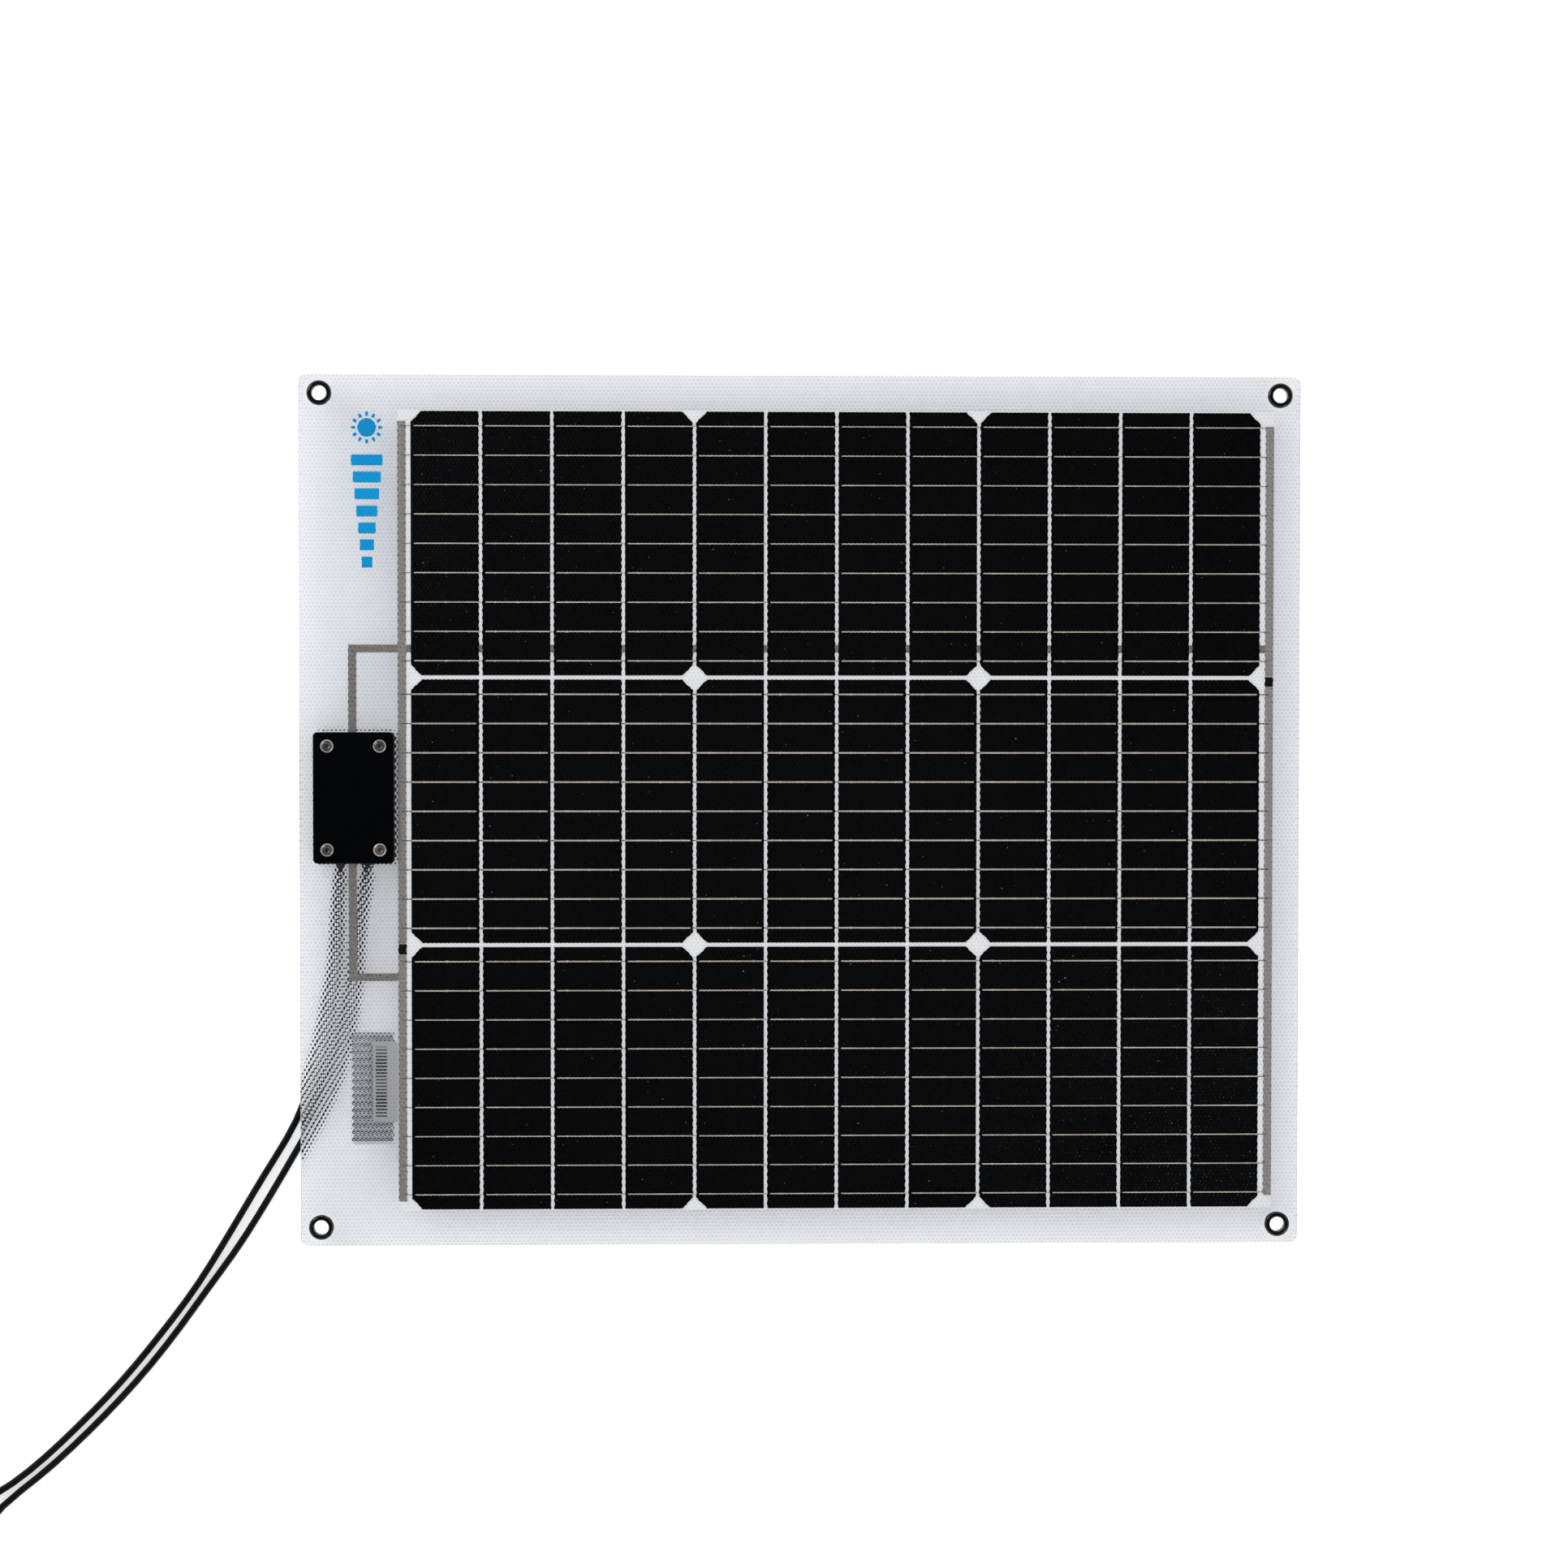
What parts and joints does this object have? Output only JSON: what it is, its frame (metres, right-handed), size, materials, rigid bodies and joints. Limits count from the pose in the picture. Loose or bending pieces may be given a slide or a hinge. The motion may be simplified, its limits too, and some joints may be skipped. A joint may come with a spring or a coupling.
{
  "type": "flexible solar sheet",
  "caption": "Semi-flexible laminated solar sheet with quarter-cut cells, corner eyelets, slim rear junction box, screwed cover plate and two output cables.",
  "frame": {"origin": "centre of the sheet in X and Y, at the level of the junction box's underside, on which the part stands", "axes": "+X along the long side of the sheet, from the junction box margin to the plain margin; +Y along the short side; +Z out of the front film"},
  "size_m": [0.8914, 0.7695, 0.0207],
  "materials": {
    "front_film": "embossed satin",
    "back_sheet": "satin white",
    "solar_cell": "near-black monocrystalline silicon with an anti-reflection coat",
    "tinned_ribbon": "dull tinned copper",
    "black_tape": "matte",
    "eyelet_black": "gloss",
    "cover_black": "fine satin",
    "housing_black": "matte",
    "stainless": "satin",
    "seal_foam": "closed-cell foam",
    "terminal_brass": "plain",
    "diode_body": "moulded epoxy",
    "grommet_rubber": "matte",
    "cable_jacket": "satin",
    "connector_black": "moulded",
    "label_silver": "printed film",
    "sticker_grey": "matte"
  },
  "bodies": {
    "left_section": {"front_film_left": "front_film", "back_sheet_left": "back_sheet", "cells_row1_left": "solar_cell", "cells_row2_left": "solar_cell", "cells_row3_left": "solar_cell", "bus_left_upper": "tinned_ribbon", "bus_left_lower": "tinned_ribbon", "bus_insulator_left": "black_tape", "lead_ribbon_upper": "tinned_ribbon", "lead_ribbon_lower": "tinned_ribbon", "serial_sticker": "sticker_grey", "rating_label": "label_silver", "cover_plate": "cover_black", "front_gasket": "seal_foam", "rear_seal_pad": "seal_foam", "junction_box_housing": "housing_black", "cover_screw_1": "stainless", "cover_screw_2": "stainless", "cover_screw_3": "stainless", "cover_screw_4": "stainless", "terminal_negative": "terminal_brass", "terminal_positive": "terminal_brass", "bypass_diode": "diode_body", "cable_grommet_1": "grommet_rubber", "cable_grommet_2": "grommet_rubber", "output_cable_1": "cable_jacket", "output_cable_2": "cable_jacket", "cable_coil_1": "cable_jacket", "cable_coil_2": "cable_jacket", "pv_socket": "connector_black", "pv_plug": "connector_black", "eyelet_top_left": "eyelet_black", "eyelet_bottom_left": "eyelet_black"},
    "centre_left_section": {"front_film_centre_left": "front_film", "back_sheet_centre_left": "back_sheet", "cells_row1_centre_left": "solar_cell", "cells_row2_centre_left": "solar_cell", "cells_row3_centre_left": "solar_cell", "return_ribbon_centre_left": "tinned_ribbon"},
    "centre_right_section": {"front_film_centre_right": "front_film", "back_sheet_centre_right": "back_sheet", "cells_row1_centre_right": "solar_cell", "cells_row2_centre_right": "solar_cell", "cells_row3_centre_right": "solar_cell", "return_ribbon_centre_right": "tinned_ribbon"},
    "right_section": {"front_film_right": "front_film", "back_sheet_right": "back_sheet", "cells_row1_right": "solar_cell", "cells_row2_right": "solar_cell", "cells_row3_right": "solar_cell", "return_ribbon_right": "tinned_ribbon", "bus_right_upper": "tinned_ribbon", "bus_right_lower": "tinned_ribbon", "bus_insulator_right": "black_tape", "eyelet_top_right": "eyelet_black", "eyelet_bottom_right": "eyelet_black"}
  },
  "joints": [
    {"name": "bend_left", "type": "hinge", "parent": "left_section", "child": "centre_left_section", "pos_m": [-0.15025, 0, 0.01345], "axis": [0, -1, 0], "range_deg": [-10, 10], "stiffness_Nm_per_rad": 12},
    {"name": "bend_middle", "type": "hinge", "parent": "centre_left_section", "child": "centre_right_section", "pos_m": [0.02135, 0, 0.01345], "axis": [0, -1, 0], "range_deg": [-10, 10], "stiffness_Nm_per_rad": 12},
    {"name": "bend_right", "type": "hinge", "parent": "centre_right_section", "child": "right_section", "pos_m": [0.19295, 0, 0.01345], "axis": [0, -1, 0], "range_deg": [-10, 10], "stiffness_Nm_per_rad": 12}
  ]
}
